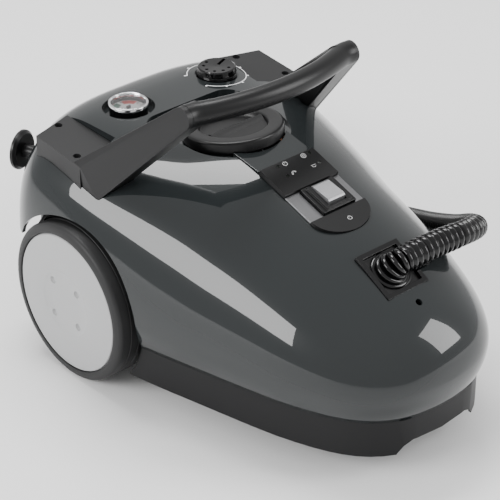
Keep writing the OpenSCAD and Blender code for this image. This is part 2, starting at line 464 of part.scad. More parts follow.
module hose_coil() { color([0.05, 0.05, 0.05]) translate([coil_c[0], coil_c[1], 0.1]) difference() { rotate_extrude($fn = 72) translate([coil_r - hose_d / 2, 0]) square([hose_d, 2 * hose_d]); rotate(-45) translate([0, 0, -1]) linear_extrude(hose_d + 1.4) polygon([[0, 0], [160, 0], [160, -60], [60, -95]]); } }
// End of the hose: climbs onto the coil and runs into the steam gun
TAIL_A = [for (a = [15 : 15 : 120]) [coil_c[0] + coil_r * cos(a), coil_c[1] + coil_r * sin(a), a < 75 ? 55.4 + 0.6 * (a - 15) / 60 : 56 + 21 * (a - 75) / 45]];
gun_p = [143, 420, 78];
gun_a = 210;
gun_b = 19.8;
module hose_tail() { color([0.05, 0.05, 0.05]) tube(concat(TAIL_A, [[149.3, 423.7, 77.3]]), hose_d / 2, 10); }
module hose_ties() {
  color([0.1, 0.1, 0.1]) for (a = [330, 220]) translate([coil_c[0], coil_c[1], 0]) rotate(a) translate([coil_r, 0, 0]) difference() {
    translate([-hose_d / 2 - 1.6, -8, 0]) cube([hose_d + 3.2, 16, 2 * hose_d + 1.8]);
    translate([-hose_d / 2 - 0.3, -10, -1]) cube([hose_d + 0.6, 20, 2 * hose_d + 1.4]);
  }
}
module at_gun() { translate(gun_p) rotate([0, gun_b, gun_a]) children(); }
module gun_body() {
  color([0.1, 0.1, 0.105]) at_gun() difference() {
    union() {
      rotate([0, 90, 0]) rotate_extrude($fn = 48) polygon([[0, 0.4], [12, 0.4], [14, 10], [15, 40], [15.5, 90], [15, 118], [11, 128], [9, 190], [0, 190]]);
      translate([112, 0, 0]) rotate([0, 90, 0]) cylinder(r = 17, h = 12, $fn = 48);
    }
    translate([30, 5, -8]) cube([62, 20, 16]);
    translate([180, 0, 0]) rotate([0, 90, 0]) cylinder(r = 5, h = 20, $fn = 32);
    translate([36, 9, 0]) cylinder(r = 2.05, h = 60, center = true, $fn = 32);
  }
}
module gun_trigger() {
  color([0.3, 0.3, 0.3]) at_gun() {
    translate([36, 9, 0]) cylinder(r = 2, h = 24, center = true, $fn = 32);
    difference() { hull() { translate([36, 9, 0]) cylinder(r = 3.4, h = 15, center = true, $fn = 32); translate([84, 15.5, 0]) cylinder(r = 3.4, h = 15, center = true, $fn = 32); translate([60, 14, 0]) cylinder(r = 5, h = 15, center = true, $fn = 32); } }
  }
}

/* Rear fittings */
module at_hook() { translate([113, 224, 188]) rotate([0, 0, -21.6]) rotate([-90, 0, 0]) children(); }
module cable_hooks() {
  color([0.05, 0.05, 0.05]) both() at_hook() { translate([0, 0, -18]) cylinder(r = 7, h = 44, $fn = 48); translate([0, 0, 24]) cylinder(r1 = 18, r2 = 21, h = 3, $fn = 64); translate([0, 0, 27]) cylinder(r = 21, h = 3, $fn = 64); }
}
module cable_gland() {
  color([0.05, 0.05, 0.05]) difference() { union() { along_y(70, 242, 92, 10, 24); along_y(70, 249.8, 92, 13, 4); } along_y(70, 240, 92, 4.2, 60); }
}

centred() base_tray();
centred() upper_shell();
centred() shell_screws();
centred() wheel_arch_liners();
centred() handle_cover_left();
centred() handle_cover_right();
centred() handle_arm_left();
centred() handle_arm_right();
centred() handle_grip();
centred() handle_screws();
centred() rear_axle();
centred() axle_clips();
centred() color([0.08, 0.08, 0.085]) tyre_left();
centred() wheel_disc_left();
centred() tyre_right();
centred() wheel_disc_right();
centred() caster_fork_left();
centred() caster_fork_right();
centred() caster_wheel_left();
centred() caster_wheel_right();
centred() boiler_tank();
centred() boiler_jacket();
centred() boiler_saddles();
centred() heating_element();
centred() drain_plug();
centred() cap_knob();
centred() cap_seal_disc();
centred() cap_gasket();
centred() steam_knob();
centred() steam_valve();
centred() steam_pipes();
centred() gauge_case();
centred() gauge_bezel();
centred() gauge_dial();
centred() gauge_needle();
centred() gauge_lens();
centred() solenoid_valve();
centred() solenoid_plunger();
centred() solenoid_spring();
centred() pressure_switch();
centred() safety_thermostat();
centred() control_board();
centred() blank_plate();
centred() led_panel();
centred() led_lights();
centred() switch_plate();
centred() rocker_frame();
centred() rocker_paddle();
centred() panel_end_trim();
centred() hose_bezel();
centred() hose_elbow();
centred() strain_relief();
centred() hose_run();
centred() hose_coil();
centred() hose_tail();
centred() hose_ties();
centred() gun_body();
centred() gun_trigger();
centred() cable_hooks();
centred() cable_gland();
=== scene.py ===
import bpy, bmesh, math, json
import numpy as np
from mathutils import Vector, Matrix
from mathutils.bvhtree import BVHTree
from mathutils.interpolate import poly_3d_calc


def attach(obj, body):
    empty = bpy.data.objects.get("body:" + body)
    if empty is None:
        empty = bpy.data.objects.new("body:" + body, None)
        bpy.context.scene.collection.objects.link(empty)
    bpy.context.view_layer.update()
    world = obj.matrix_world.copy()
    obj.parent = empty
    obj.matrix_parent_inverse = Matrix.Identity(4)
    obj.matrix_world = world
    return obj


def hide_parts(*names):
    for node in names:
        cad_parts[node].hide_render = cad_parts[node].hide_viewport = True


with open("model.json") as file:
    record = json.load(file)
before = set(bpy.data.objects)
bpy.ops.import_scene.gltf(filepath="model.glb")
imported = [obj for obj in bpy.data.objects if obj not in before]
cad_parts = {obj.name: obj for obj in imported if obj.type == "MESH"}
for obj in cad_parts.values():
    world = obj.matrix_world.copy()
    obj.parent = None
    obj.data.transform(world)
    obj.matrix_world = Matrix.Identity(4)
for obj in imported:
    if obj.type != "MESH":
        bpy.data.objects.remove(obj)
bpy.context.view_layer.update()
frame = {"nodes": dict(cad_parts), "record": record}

N = frame["nodes"]
SC = bpy.context.scene
MY = 6.0                                   # drawn frame to part frame, mm along Y


def P(v):
    return Vector((v[0] / 1000, (v[1] - MY) / 1000, v[2] / 1000))


# ---------------------------------------------------------------- camera
cam = bpy.data.objects.new("camera", bpy.data.cameras.new("camera"))
SC.collection.objects.link(cam)
cam.data.lens = 2046.5 * 36 / 500
cam.data.sensor_width = 36
cam.data.clip_end = 30
r_, u_, v_ = Vector((0.745, -0.667, 0)), Vector((0.342, 0.382, 0.858)), Vector((0.5725, 0.6395, -0.513))
r_.normalize(); v_.normalize(); u_ = r_.cross(v_) ; u_.normalize()
m = Matrix((r_, u_, -v_)).transposed().to_4x4()
m.translation = P((-1192.8, -1297.3, 1182.4))
cam.matrix_world = m
SC.camera = cam


# ---------------------------------------------------------------- materials
def mat(name, base, rough, metal=0.0, coat=0.0, bump=0.0, scale=900.0, var=0.06, rvar=0.04, stretch=None, spec=0.5, coat_rough=0.03, big=14.0):
    m = bpy.data.materials.new(name)
    m.use_nodes = True
    t = m.node_tree
    b = t.nodes["Principled BSDF"]
    b.inputs["Metallic"].default_value = metal
    b.inputs["Coat Weight"].default_value = coat
    b.inputs["Coat Roughness"].default_value = coat_rough
    b.inputs["Specular IOR Level"].default_value = spec
    tc = t.nodes.new("ShaderNodeTexCoord")
    src = tc.outputs["Object"]
    if stretch:
        mp = t.nodes.new("ShaderNodeMapping")
        mp.inputs["Scale"].default_value = stretch
        t.links.new(src, mp.inputs["Vector"])
        src = mp.outputs["Vector"]
    n1 = t.nodes.new("ShaderNodeTexNoise")
    n1.inputs["Scale"].default_value = big
    n1.inputs["Detail"].default_value = 4
    t.links.new(tc.outputs["Object"], n1.inputs["Vector"])
    mr = t.nodes.new("ShaderNodeMapRange")
    mr.inputs["To Min"].default_value = 1 - var
    mr.inputs["To Max"].default_value = 1 + var
    t.links.new(n1.outputs["Fac"], mr.inputs["Value"])
    hs = t.nodes.new("ShaderNodeVectorMath")
    hs.operation = "SCALE"
    hs.inputs[0].default_value = base
    t.links.new(mr.outputs["Result"], hs.inputs["Scale"])
    t.links.new(hs.outputs["Vector"], b.inputs["Base Color"])
    n2 = t.nodes.new("ShaderNodeTexNoise")
    n2.inputs["Scale"].default_value = scale
    n2.inputs["Detail"].default_value = 3
    t.links.new(src, n2.inputs["Vector"])
    rr = t.nodes.new("ShaderNodeMapRange")
    rr.inputs["To Min"].default_value = max(0.0, rough - rvar)
    rr.inputs["To Max"].default_value = min(1.0, rough + rvar)
    t.links.new(n2.outputs["Fac"], rr.inputs["Value"])
    t.links.new(rr.outputs["Result"], b.inputs["Roughness"])
    if bump:
        bp = t.nodes.new("ShaderNodeBump")
        bp.inputs["Strength"].default_value = bump
        bp.inputs["Distance"].default_value = 0.0002
        t.links.new(n2.outputs["Fac"], bp.inputs["Height"])
        t.links.new(bp.outputs["Normal"], b.inputs["Normal"])
    return m


M = {
    "shell": mat("shell_lacquer", (0.0140, 0.0166, 0.0174), 0.22, coat=0.85, var=0.02, rvar=0.01, spec=0.05, coat_rough=0.012),
    "tray": mat("tray_grain", (0.006, 0.006, 0.0065), 0.42, bump=0.10, scale=1400, spec=0.22),
    "cover": mat("cover_grain", (0.0115, 0.0115, 0.012), 0.40, bump=0.12, scale=1500, spec=0.28),
    "black": mat("black_satin", (0.0045, 0.0045, 0.0048), 0.34, bump=0.08, scale=1300, spec=0.30),
    "black_gloss": mat("black_gloss", (0.003, 0.003, 0.0033), 0.14, coat=0.5, var=0.03, rvar=0.02, spec=0.15),
    "steel": mat("plain_steel", (0.56, 0.56, 0.58), 0.32, metal=1, bump=0.05, scale=300, stretch=(1, 1, 30)),
    "tyre": mat("tyre_rubber", (0.018, 0.018, 0.0185), 0.48, bump=0.12, scale=1200, var=0.08, spec=0.25),
    "disc": mat("disc_grey", (0.36, 0.362, 0.366), 0.36, bump=0.04, scale=1200, var=0.015, spec=0.5),
    "rubber": mat("hose_rubber", (0.004, 0.004, 0.004), 0.26, bump=0.05, scale=900, spec=0.5),
    "brass": mat("brass", (0.66, 0.50, 0.24), 0.3, metal=1, bump=0.05, scale=400),
    "copper": mat("copper", (0.72, 0.38, 0.24), 0.28, metal=1, bump=0.04, scale=500),
    "foam": mat("felt", (0.62, 0.57, 0.45), 0.95, bump=0.8, scale=500, var=0.15),
    "chrome": mat("chrome", (0.82, 0.82, 0.83), 0.06, metal=1, var=0.01, rvar=0.02),
    "white": mat("print_white", (0.80, 0.80, 0.80), 0.4, var=0.02),
    "silver": mat("silver_lacquer", (0.17, 0.17, 0.175), 0.34, metal=0.85, bump=0.12, scale=420, stretch=(1, 14, 1), var=0.03),
    "paddle": mat("paddle_lacquer", (0.34, 0.34, 0.35), 0.34, metal=0.75, bump=0.16, scale=460, stretch=(1, 14, 1), var=0.03),
    "board": mat("board_green", (0.02, 0.16, 0.06), 0.35, coat=0.4),
    "ceramic": mat("ceramic", (0.75, 0.70, 0.60), 0.55, bump=0.1),
    "gasket": mat("gasket_silicone", (0.25, 0.04, 0.02), 0.6, bump=0.05),
    "led": mat("led_dark", (0.010, 0.012, 0.010), 0.12, coat=0.5),
    "red": mat("print_red", (0.60, 0.03, 0.02), 0.4),
    "green": mat("print_green", (0.02, 0.16, 0.09), 0.4),
    "ink": mat("print_black", (0.01, 0.01, 0.01), 0.45),
}
lens = bpy.data.materials.new("clear_lens")
lens.use_nodes = True
lb = lens.node_tree.nodes["Principled BSDF"]
lb.inputs["Transmission Weight"].default_value = 1.0
lb.inputs["Roughness"].default_value = 0.02
ln = lens.node_tree.nodes.new("ShaderNodeTexNoise")
ln.inputs["Scale"].default_value = 60
lr = lens.node_tree.nodes.new("ShaderNodeMapRange")
lr.inputs["To Min"].default_value = 0.01
lr.inputs["To Max"].default_value = 0.03
lens.node_tree.links.new(ln.outputs["Fac"], lr.inputs["Value"])
lens.node_tree.links.new(lr.outputs["Result"], lb.inputs["Roughness"])
M["lens"] = lens


# ---------------------------------------------------------------- helpers
def mesh_obj(name, V, F, body, slot, sharp=35, real=True):
    me = bpy.data.meshes.new(name)
    me.from_pydata([P(v) for v in V], [], F)
    me.update()
    o = bpy.data.objects.new(name, me)
    SC.collection.objects.link(o)
    bm = bmesh.new(); bm.from_mesh(me)
    bmesh.ops.remove_doubles(bm, verts=bm.verts, dist=1e-6)
    bmesh.ops.recalc_face_normals(bm, faces=bm.faces)
    bm.to_mesh(me); bm.free()
    if real:
        dress(o, body, slot, sharp)
    return o


def dress(o, body, slot, sharp=35):
    me = o.data
    me.materials.clear()
    me.materials.append(M[slot])
    for p in me.polygons:
        p.use_smooth = True
        p.material_index = 0
    me.set_sharp_from_angle(angle=math.radians(sharp))
    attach(o, body)
    return o


def lathe(name, prof, T, body, slot, n=96, sharp=35, real=True):
    """prof is (radius, height) pairs from axis to axis or a closed loop; T takes local mm to drawn mm."""
    V, F = [], []
    rings = []
    for r, z in prof:
        if r < 1e-6:
            rings.append([len(V)]); V.append(T((0, 0, z)))
        else:
            rings.append(list(range(len(V), len(V) + n)))
            for k in range(n):
                a = 2 * math.pi * k / n
                V.append(T((r * math.cos(a), r * math.sin(a), z)))
    k = len(rings)
    closed = len(rings[0]) > 1 and len(rings[-1]) > 1
    for i in range(k if closed else k - 1):
        A, B = rings[i], rings[(i + 1) % k]
        for j in range(n):
            j2 = (j + 1) % n
            if len(A) == 1 and len(B) == 1:
                continue
            if len(A) == 1: F.append([A[0], B[j], B[j2]])
            elif len(B) == 1: F.append([A[j], A[j2], B[0]])
            else: F.append([A[j], A[j2], B[j2], B[j]])
    return mesh_obj(name, V, F, body, slot, sharp, real)


def frameT(origin, rx=0.0, rz=0.0, pre=None):
    R = Matrix.Rotation(math.radians(rz), 3, "Z") @ Matrix.Rotation(math.radians(rx), 3, "X")
    if pre is not None:
        R = R @ pre
    o = Vector(origin)
    return lambda v: R @ Vector(v) + o


at_cap = frameT((0, 59.5, 236), -6)
at_strip = frameT((0, -72.3, 219.6), 18.2)
at_blank = frameT((0, -1.7, 241.2), 10)
at_inlet = frameT((0, -164, 180), 30.6)
YUP = Matrix.Rotation(math.radians(-90), 3, "X")


def at_hook(sg):
    R = Matrix.Rotation(math.radians(-21.6 * sg), 3, "Z") @ YUP
    o = Vector((113 * sg, 224, 188))
    return lambda v: R @ Vector(v) + o


def along_x(x, y, z, sg=1):
    R = Matrix.Rotation(math.radians(90 * sg), 3, "Y")
    o = Vector((x, y, z))
    return lambda v: R @ Vector(v) + o


def cyl(name, r, z0, z1, T, n=96):
    return lathe(name, [(0, z0), (r, z0), (r, z1), (0, z1)], T, None, None, n, real=False)


def boxv(name, x0, x1, y0, y1, z0, z1, T=lambda v: Vector(v)):
    V = [T((x, y, z)) for z in (z0, z1) for y in (y0, y1) for x in (x0, x1)]
    F = [[0, 2, 3, 1], [4, 5, 7, 6], [0, 1, 5, 4], [1, 3, 7, 5], [3, 2, 6, 7], [2, 0, 4, 6]]
    return mesh_obj(name, V, F, None, None, real=False)


def prism(name, pts, z0, z1, T=lambda v: Vector(v), real=False, body=None, slot=None):
    n = len(pts)
    V = [T((p[0], p[1], z0)) for p in pts] + [T((p[0], p[1], z1)) for p in pts]
    F = [list(range(n))[::-1], list(range(n, 2 * n))] + [[i, (i + 1) % n, n + (i + 1) % n, n + i] for i in range(n)]
    return mesh_obj(name, V, F, body, slot, real=real)


def boolean(o, cutters, op="DIFFERENCE"):
    for c in cutters:
        b = o.modifiers.new("b", "BOOLEAN")
        b.object = c
        b.operation = op
        b.solver = "EXACT"
        bpy.context.view_layer.update()
        me = bpy.data.meshes.new_from_object(o.evaluated_get(bpy.context.evaluated_depsgraph_get()))
        o.modifiers.clear()
        old = o.data
        o.data = me
        bpy.data.meshes.remove(old)
    for c in cutters:
        bpy.data.objects.remove(c)
    return o


def bevel(o, w, seg=3, ang=35):
    b = o.modifiers.new("edge", "BEVEL")
    b.width = w / 1000
    b.segments = seg
    b.limit_method = "ANGLE"
    b.angle_limit = math.radians(ang)
    b.use_clamp_overlap = True
    b.harden_normals = False
    wn = o.modifiers.new("wn", "WEIGHTED_NORMAL")
    wn.keep_sharp = True
    return o


def cat(a, b, c, d, t):
    return 0.5 * (2 * b + (c - a) * t + (2 * a - 5 * b + 4 * c - d) * t * t + (3 * b - a - 3 * c + d) * t ** 3)


def catline(pts, n, ends=True):
    p = [np.array(q, float) for q in pts]
    p = [2 * p[0] - p[1]] + p + [2 * p[-1] - p[-2]]
    out = []
    for i in range(len(p) - 3):
        for k in range(n):
            out.append(cat(p[i], p[i + 1], p[i + 2], p[i + 3], k / n))
    out.append(p[-2])
    return np.array(out)


def resample(path, step):
    d = np.r_[0, np.cumsum(np.linalg.norm(np.diff(path, axis=0), axis=1))]
    k = max(2, int(round(d[-1] / step)))
    s = np.linspace(0, d[-1], k + 1)
    return np.stack([np.interp(s, d, path[:, i]) for i in range(3)], 1), s


def sweep(name, path, radii, n, body, slot, sharp=60, up=(0, 0, 1)):
    """A tube along path with one radius a point, closed at both ends."""
    t = np.gradient(path, axis=0)
    t /= np.linalg.norm(t, axis=1)[:, None]
    u = np.cross(t[0], up)
    if np.linalg.norm(u) < 0.1: u = np.cross(t[0], (0, 1, 0))
    u /= np.linalg.norm(u)
    V = []
    a = np.arange(n) * 2 * math.pi / n
    for i in range(len(path)):
        u = u - t[i] * np.dot(u, t[i]); u /= np.linalg.norm(u)
        w = np.cross(t[i], u)
        V.extend(path[i] + radii[i] * (np.outer(np.cos(a), u) + np.outer(np.sin(a), w)))
    k = len(path)
    F = []
    for i in range(k - 1):
        for j in range(n):
            j2 = (j + 1) % n
            F.append([i * n + j, i * n + j2, (i + 1) * n + j2, (i + 1) * n + j])
    F.append(list(range(n))[::-1]); F.append(list(range((k - 1) * n, k * n)))
    return mesh_obj(name, V, F, body, slot, sharp)


# ---------------------------------------------------------------- hose
ROUTE = [(90, -164, 183), (111, -161, 179.5), (131, -151, 172), (143, -132, 161),
         (150, -108, 147), (157, -71, 131), (165, -33, 117), (176, -6, 104), (190, 20, 86), (203, 57, 62), (214, 97, 40), (224, 137, 22),
         (234, 172, 12), (249, 207, 11), (266, 232, 11), (285, 252, 11)]
CC, CR = (207.0, 330.0), 110.0


def coil_z(a):
    if a < 255: return 11
    if a < 315: return 11 + 22 * (0.5 - 0.5 * math.cos(math.pi * (a - 255) / 60))
    if a < 615: return 33
    if a < 675: return 33 + 22 * (0.5 - 0.5 * math.cos(math.pi * (a - 615) / 60))
    if a < 790: return 55
    return 55 + 22 * (0.5 - 0.5 * math.cos(math.pi * (a - 790) / 60))


coil = [(CC[0] + CR * math.cos(math.radians(a)), CC[1] + CR * math.sin(math.radians(a)), coil_z(a)) for a in range(-45, 840, 5)]
GUN = (143, 420, 78)
run = catline(ROUTE, 8)
path = np.array(list(run[:-1]) + coil + [GUN])
path, s = resample(path, 1.0)
# gentle smoothing where the run joins the coil
for _ in range(30):
    path[1:-1] = 0.5 * path[1:-1] + 0.25 * (path[:-2] + path[2:])
path, s = resample(path, 0.72)


def beads(s, pitch, power=0.75):
    return np.abs(np.sin(math.pi * s / pitch)) ** power


# coarse beads up to the bend, then the fine ones of the hose itself
co = np.clip((46 - s) / 6, 0, 1)
rad = (9.9 + 1.25 * beads(s, 4.32)) * (1 - co) + (9.9 + 2.6 * beads(s, 7.4)) * co
hose = sweep("steam_hose", path, rad, 18, "body", "rubber", sharp=70)
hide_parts("hose_run", "hose_coil", "hose_tail")

# ribbed strain relief and oblique boot
sr = catline([(15, -166, 187), (40, -165.5, 187), (64, -164.5, 185.5), (90, -164, 183)], 20)
sr, s2 = resample(sr, 0.6)
w_ = s2 / s2[-1]
rad2 = 11.2 - 1.3 * w_ + 2.9 * beads(s2 + 0.0, 7.4)
relief = sweep("strain_relief_ribbed", sr, rad2, 40, "body", "black_gloss", sharp=75)
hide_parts("strain_relief")
# bellows from the plate of the inlet into the strain relief: one bead after another, each turned a little more
nv = Vector((0, -math.sin(math.radians(30.6)), math.cos(math.radians(30.6))))
tv = Vector((0, math.cos(math.radians(30.6)), math.sin(math.radians(30.6))))
for k_, (bx, bh, bt, ba, br, th) in enumerate(((-2.0, 0.4, 0.0, 0, 20.0, 2.0), (-0.9, 3.0, 0.2, 9, 17.2, 2.2), (1.0, 5.3, 0.6, 26, 15.3, 2.4), (4.4, 6.8, 1.1, 49, 14.1, 2.6), (8.8, 7.2, 1.6, 72, 13.5, 2.7), (13.8, 7.1, 1.85, 87, 13.2, 2.8))):
    c_ = Vector((bx, -164, 180)) + nv * bh + tv * bt
    ax = nv * math.cos(math.radians(ba)) + Vector((1, 0, 0)) * math.sin(math.radians(ba))
    e1 = ax.cross(tv).normalized(); e2 = ax.cross(e1)
    pr = [(0, -th)] + [(br - 2.4, -th)] + [(br - 2.4 + 2.4 * math.cos(a), th * math.sin(a)) for a in np.linspace(-1.45, 1.45, 13)] + [(br - 2.4, th), (0, th)]
    bead = lathe("bellows_bead_%d" % k_, pr, (lambda c_, e1, e2, ax: lambda q: c_ + e1 * q[0] + e2 * q[1] + ax * q[2])(c_, e1, e2, ax), "body", "black_gloss", 72, 40)
plate = boxv("inlet_plate", -21.6, 21.6, -20.6, 20.6, -7, -0.6, at_inlet)
ringp = lathe("c", [(0, -3), (20.6, -3), (20.6, -0.2), (20.1, 0.9), (19.0, 1.3), (17.8, 0.9), (17.2, 0.2), (0, 0.2)], at_inlet, None, None, 96, real=False)
boolean(plate, [ringp], "UNION")
dress(plate, "body", "cover", 35)
bevel(plate, 0.8, 3, 40)
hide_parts("hose_elbow")


# ---------------------------------------------------------------- shell
ST = np.array([[-245, 32, 114, 2], [-237, 57, 131, 2], [-222, 79, 148, 2], [-200, 97, 163, 2], [-172, 111, 179, 2],
               [-135, 124, 197, 2], [-95, 134, 213, 2], [-50, 144, 228.5, 2], [-12, 152.5, 239.5, 2.1], [25, 160, 245, 2.3],
               [65, 166, 245, 2.7], [105, 170, 244, 3.2], [145, 171.5, 244, 3.8], [175, 171, 244, 4.2], [193, 168, 243, 4],
               [210, 160, 240, 3.6], [225, 146, 233, 3.2], [238, 118, 216, 2.9], [246, 70, 180, 2.6]], float)
BZ, SEAM_IN = 98.0, 9.0


def fine(n):
    L = np.vstack([[-245, -32, 114, 2], [-248, 0.8, 98.6, 2], ST, [248, 0.8, 98.6, 2.6], [246, -70, 180, 2.6]])
    out = []
    for i in range(len(L) - 3):
        for k in range(n):
            out.append(cat(L[i], L[i + 1], L[i + 2], L[i + 3], k / n))
    out.append(L[-2])
    out = np.array(out)
    out[:, 1] = np.maximum(out[:, 1], 0.8)
    out[:, 2] = np.maximum(out[:, 2], 98.6)
    return out


def plan_out(S, i):
    a, b = S[max(i - 1, 0)], S[min(i + 1, len(S) - 1)]
    if i == 0: return np.array([0.0, -1.0])
    if i == len(S) - 1: return np.array([0.0, 1.0])
    t = np.array([b[1] - a[1], b[0] - a[0]]); t /= np.linalg.norm(t)
    return np.array([t[1], -t[0]])


def body_mesh(d, zf, mm, n):
    S = fine(n)
    rings = []
    for i, (y, w, T, e) in enumerate(S):
        w = max(w - d, 0.4); h = max(T - d - BZ, 0.4); yy = y * (1 - d / 248)
        o = plan_out(S, i)
        half = []
        for q in range(6):                                  # side wall from the foot up to the widest line
            f = q / 6
            k = SEAM_IN * (1 - f) ** 1.9
            half.append((w - k * o[0], yy - k * o[1], zf + f * (BZ - zf)))
        for k in range(mm):
            p = math.pi / 2 * k / mm
            half.append((w * math.cos(p) ** (2 / e), yy, BZ + h * math.sin(p) ** (2 / e)))
        rings.append(half + [(0, yy, BZ + h)] + [(-q[0], q[1], q[2]) for q in half[::-1]])
    V = [v for r in rings for v in r]
    n_, k_ = len(rings[0]), len(rings)
    F = []
    for i in range(k_ - 1):
        for j in range(n_):
            a, b = i * n_ + j, i * n_ + (j + 1) % n_
            F.append([a, b, b + n_, a + n_])
    h_ = n_ // 2
    for base, flip in ((0, 1), ((k_ - 1) * n_, -1)):
        for j in range(h_ - 1):
            F.append([base + q for q in (j, j + 1, 2 * h_ - j - 1, 2 * h_ - j)][::flip])
        F.append([base + q for q in (h_ - 1, h_, h_ + 1)][::flip])
    return V, F


def well_plan(g):
    """Plan of the pocket around the cap: a circle widening into a round-cornered rear."""
    pts = []
    for k in range(97):
        a = math.pi * (1.0 + k / 96)
        pts.append(((57.5 + g) * math.cos(a), (57.5 + g) * math.sin(a)))
    for k in range(25):
        a = math.pi / 2 * k / 24
        pts.append((41 + (20 + g) * math.cos(a), 53 + (20 + g) * math.sin(a)))
    for k in range(25):
        a = math.pi / 2 * (1 + k / 24)
        pts.append((-41 + (20 + g) * math.cos(a), 53 + (20 + g) * math.sin(a)))
    return pts


def top_z(x, y):
    S = fine(4)
    w, T, e = (np.interp(y, S[:, 0], S[:, i]) for i in (1, 2, 3))
    return BZ + (T - BZ) * max(0.0, 1 - (abs(x) / w) ** e) ** (1 / e)


SEAM = 66.0
G, K = (-47.5, 166.5), (69.5, 165)
BLK = [(95, 130), (100, 200), (149, 187), (149, 117)]


def blk_z(y): return 231 + 0.1 * (y - 123)


def block(name, sg, g, z0, up):
    c = []
    for p in BLK:
        d = np.array(p, float) - (124, 158); d /= np.linalg.norm(d)
        c.append((p[0] + d[0] * g * 1.5, p[1] + d[1] * g * 1.5))
    V = [(sg * p[0], p[1], z0 - g) for p in c] + [(sg * p[0], p[1], blk_z(p[1]) + up) for p in c]
    F = [[3, 2, 1, 0], [4, 5, 6, 7], [1, 5, 4, 0], [2, 6, 5, 1], [3, 7, 6, 2], [0, 4, 7, 3]]
    return mesh_obj(name, V, F, None, None, real=False)


def hull(name, pts):
    bm = bmesh.new()
    vs = [bm.verts.new(P(p)) for p in pts]
    r = bmesh.ops.convex_hull(bm, input=vs)
    bmesh.ops.delete(bm, geom=[v for v in bm.verts if not v.link_faces], context="VERTS")
    bmesh.ops.recalc_face_normals(bm, faces=bm.faces)
    me = bpy.data.meshes.new(name); bm.to_mesh(me); bm.free()
    o = bpy.data.objects.new(name, me); SC.collection.objects.link(o)
    return o


def arm_pts(sg, xi, xo, g):
    q = []
    for p in [(149, 117, 230.2), (148, 128, 231), (146, 96, 201.5), (147, 118, 206)]:
        for dx in (xi, xo):
            for dy in (-1 - g, g):
                for dz in (-1 - g, g):
                    q.append((sg * (p[0] - dx), p[1] + dy, p[2] + dz))
    for k in range(40):
        a = 2 * math.pi * k / 40
        for dx in (xi, xo):
            q.append((sg * (110.5 - dx), 8 + (11.8 + g) * math.cos(a), 311 + (11.8 + g) * math.sin(a)))
    return q


def strip_pts(g, front=28):
    pts = [(35 + g, 59.5), (-35 - g, 59.5), (-35 - g, -19)]
    for k in range(1, 40):
        a = math.pi + math.pi * k / 40
        pts.append(((35 + g) * math.cos(a), -19 + (front + g) * math.sin(a)))
    pts.append((35 + g, -19))
    return pts


V, F = body_mesh(0, SEAM, 26, 4)
outer = mesh_obj("upper_shell_lacquered", V, F, None, None, real=False)
ref = BVHTree.FromObject(outer, bpy.context.evaluated_depsgraph_get())
ref_me = outer.data.copy()
V, F = body_mesh(3, SEAM - 8, 14, 2)
void = mesh_obj("void", V, F, None, None, real=False)
up = lambda v: Vector(v)
both = (1, -1)
boolean(void, [prism("c", well_plan(3), -3, 60, at_cap), cyl("c", 30, 233, 300, frameT((G[0], G[1], 0)), 64), cyl("c", 26, 238, 300, frameT((K[0], K[1], 0)), 64)]
        + [block("c", sg, 3.4, 203, 30) for sg in both])
cut = [prism("c", well_plan(0), 0, 60, at_cap), cyl("c", 27, 236, 300, frameT((G[0], G[1], 0)), 96), cyl("c", 23, 241, 300, frameT((K[0], K[1], 0)), 96)]
cut += [block("c", sg, 0.4, 203, 30) for sg in both]
cut += [hull("c", arm_pts(sg, -0.4, 21.4, 0.4)) for sg in both]
cut += [void]
for sg in both:
    cut.append(cyl("c", 92, 0, 88, along_x(sg * 112, 116, 85, sg), 160))
    x0, x1 = sorted((sg * 112, sg * 200))
    cut.append(boxv("c", x0, x1, 116, 316, -10, 128))
    cut.append(cyl("c", 7.4, -30, 12, at_hook(sg), 32))
cut += [cyl("c", 33, -40, 20, at_cap, 64), prism("c", strip_pts(0.4), -14, 30, at_strip), boxv("c", -35.3, 35.3, -16, 25, -9, 20, at_blank),
        boxv("c", -27, 27, -26, 26, -14, 26, at_inlet), cyl("c", 7, 200, 260, frameT((G[0], G[1], 0)), 32), cyl("c", 6, 200, 260, frameT((K[0], K[1], 0)), 32),
        cyl("c", 3.5, -20, 20, frameT((0, -201, 162), 40), 32),
        cyl("c", 14.7, 0, 78, lambda v: Vector((10, -166, 187.1)) + Matrix.Rotation(math.radians(91.5), 3, "Y") @ Vector(v), 64)]
shell = boolean(outer, cut)
dress(shell, "body", "shell", 30)
me = shell.data
cn = [Vector(c.vector) for c in me.corner_normals]
vn = [v.normal.copy() for v in ref_me.vertices]
for p in me.polygons:
    loc, nrm, idx, dist = ref.find_nearest(p.center)
    if idx is None or dist > 0.0006 or nrm.dot(p.normal) < 0.8:
        continue
    for li in p.loop_indices:
        co = me.vertices[me.loops[li].vertex_index].co
        l2, n2, i2, d2 = ref.find_nearest(co)
        rp = ref_me.polygons[i2]
        w = poly_3d_calc([ref_me.vertices[k].co for k in rp.vertices], l2)
        nn = Vector((0, 0, 0))
        for ww, k in zip(w, rp.vertices): nn += vn[k] * ww
        if nn.length > 0: cn[li] = nn.normalized()
me.normals_split_custom_set(cn)
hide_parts("upper_shell")

# ---------------------------------------------------------------- wheels
WY, WZ = 116, 85


def arc(cx, cz, r, a0, a1, n=6):
    return [(cx + r * math.cos(math.radians(a0 + (a1 - a0) * k / n)), cz + r * math.sin(math.radians(a0 + (a1 - a0) * k / n))) for k in range(n + 1)]


